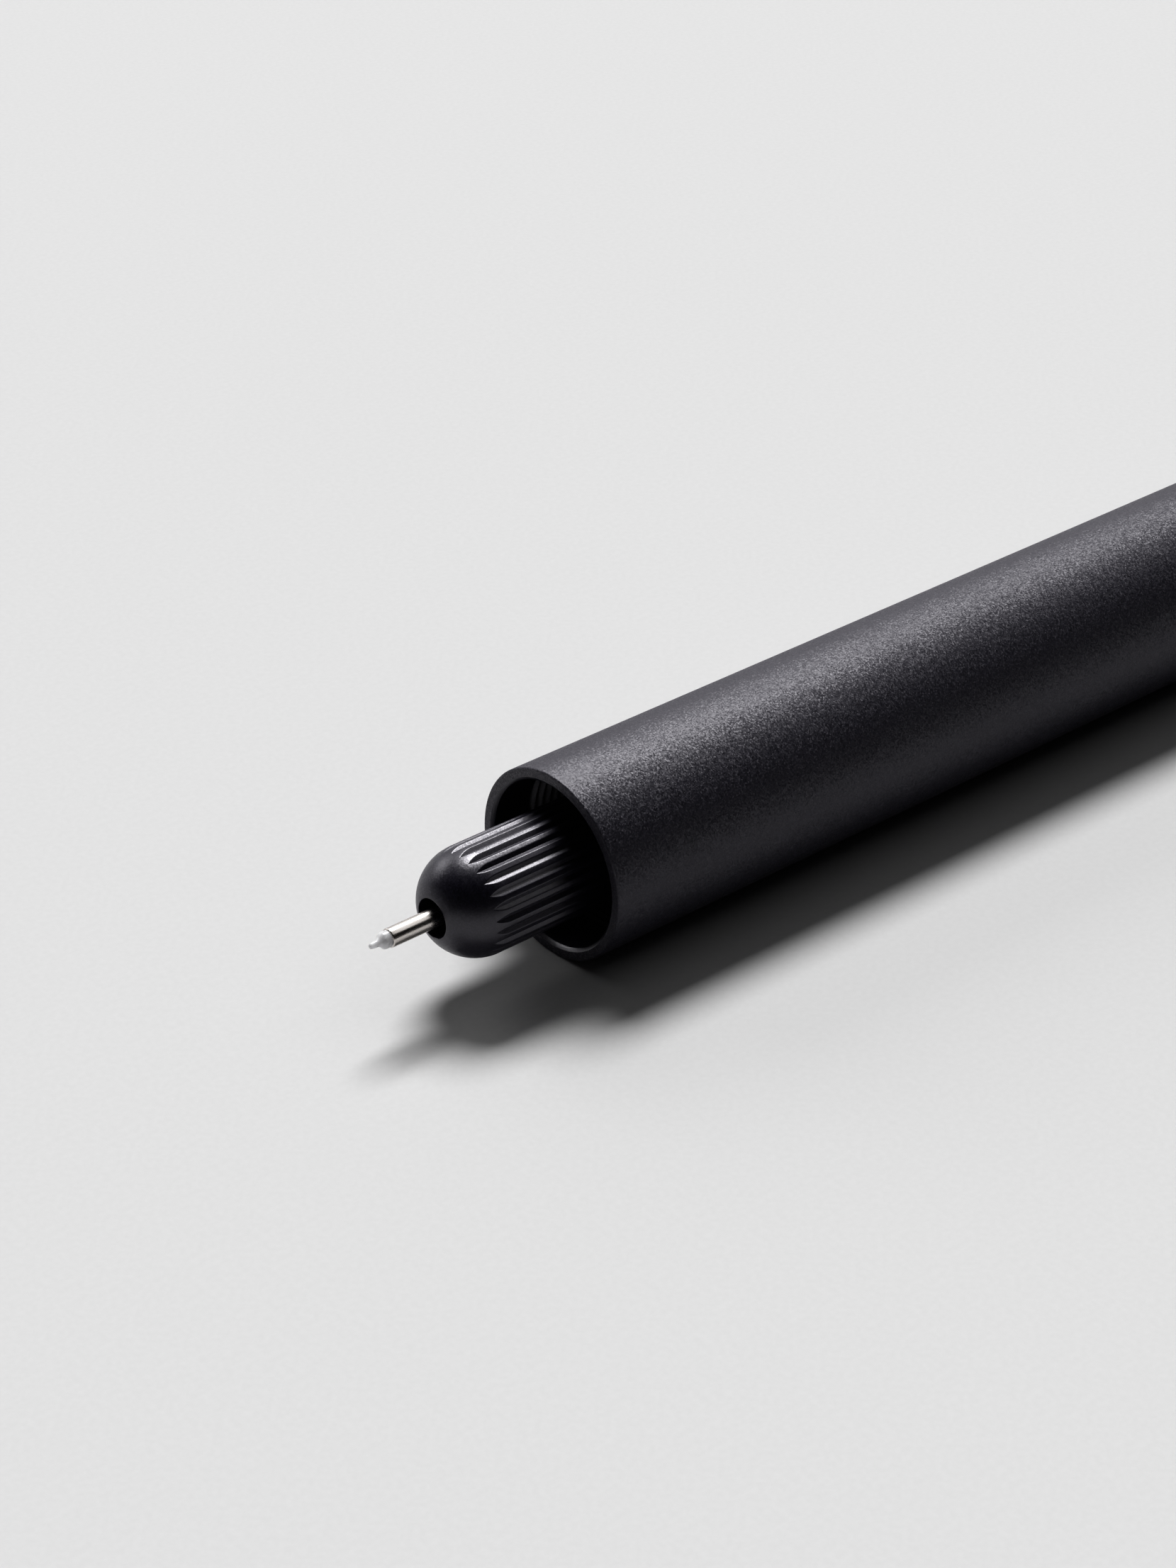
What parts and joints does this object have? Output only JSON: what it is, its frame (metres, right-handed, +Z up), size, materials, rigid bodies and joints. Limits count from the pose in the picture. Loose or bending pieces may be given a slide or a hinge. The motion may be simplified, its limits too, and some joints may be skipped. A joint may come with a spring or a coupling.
{
  "type": "technical pen",
  "caption": "Technical pen with a steel needle tip, a fluted screw-in nose, a plain round barrel and a twist knob that draws the refill back.",
  "frame": {"origin": "bottom centre of the pen's bounding box, on the surface that the pen lies on", "axes": "X runs along the pen from the tip at -X to the twist knob at +X, +Z is up"},
  "size_m": [0.14, 0.012, 0.012],
  "materials": {
    "anodised_black": "bead-blasted and anodised, matte",
    "satin_black": "fine-turned and anodised, satin",
    "needle_steel": "polished stainless steel",
    "steel": "plain spring steel",
    "brass": "turned",
    "aluminium": "turned, natural anodised",
    "seal_rubber": "moulded nitrile",
    "nib_plastic": "translucent moulded acetal",
    "dark_plastic": "moulded",
    "white_plastic": "moulded acetal",
    "clear_plastic": "extruded polypropylene",
    "ink_fibre": "bonded fibre soaked with black ink"
  },
  "bodies": {
    "barrel": {"barrel": "anodised_black", "front_stop_ring": "brass", "refill_guide": "dark_plastic", "guide_tube": "aluminium", "rear_bush": "brass", "friction_washer": "white_plastic"},
    "nose_seal": {"section_o_ring": "seal_rubber"},
    "nose": {"nose_section": "satin_black", "spring_seat": "steel", "return_spring": "steel"},
    "refill": {"nib": "nib_plastic", "needle_tube": "needle_steel", "tip_holder": "dark_plastic", "tip_connector": "white_plastic", "reservoir_tube": "clear_plastic", "ink_reservoir": "ink_fibre", "refill_end_plug": "dark_plastic", "refill_carriage": "white_plastic", "carriage_pin": "steel"},
    "knob": {"twist_knob": "anodised_black", "cam_tube": "brass", "cam_clip": "steel", "knob_o_ring": "seal_rubber"}
  },
  "joints": [
    {"name": "nose_travel", "type": "slide", "parent": "barrel", "child": "nose_seal", "axis": [-1, 0, 0], "range_m": [0, 0.009]},
    {"name": "nose_screw", "type": "hinge", "parent": "nose_seal", "child": "nose", "pos_m": [-0.05665, 0, 0.006], "axis": [-1, 0, 0], "range_deg": [0, 5400]},
    {"name": "knob_twist", "type": "hinge", "parent": "barrel", "child": "knob", "pos_m": [0.05535, 0, 0.006], "axis": [1, 0, 0], "range_deg": [0, 180]},
    {"name": "refill_slide", "type": "slide", "parent": "barrel", "child": "refill", "axis": [1, 0, 0], "range_m": [0, 0.0052], "deforming": ["return_spring"]}
  ],
  "couplings": [
    {"joint": "nose_screw", "follows": "nose_travel", "rad_per_m": 10472},
    {"joint": "knob_twist", "follows": "refill_slide", "rad_per_m": 604.15}
  ]
}
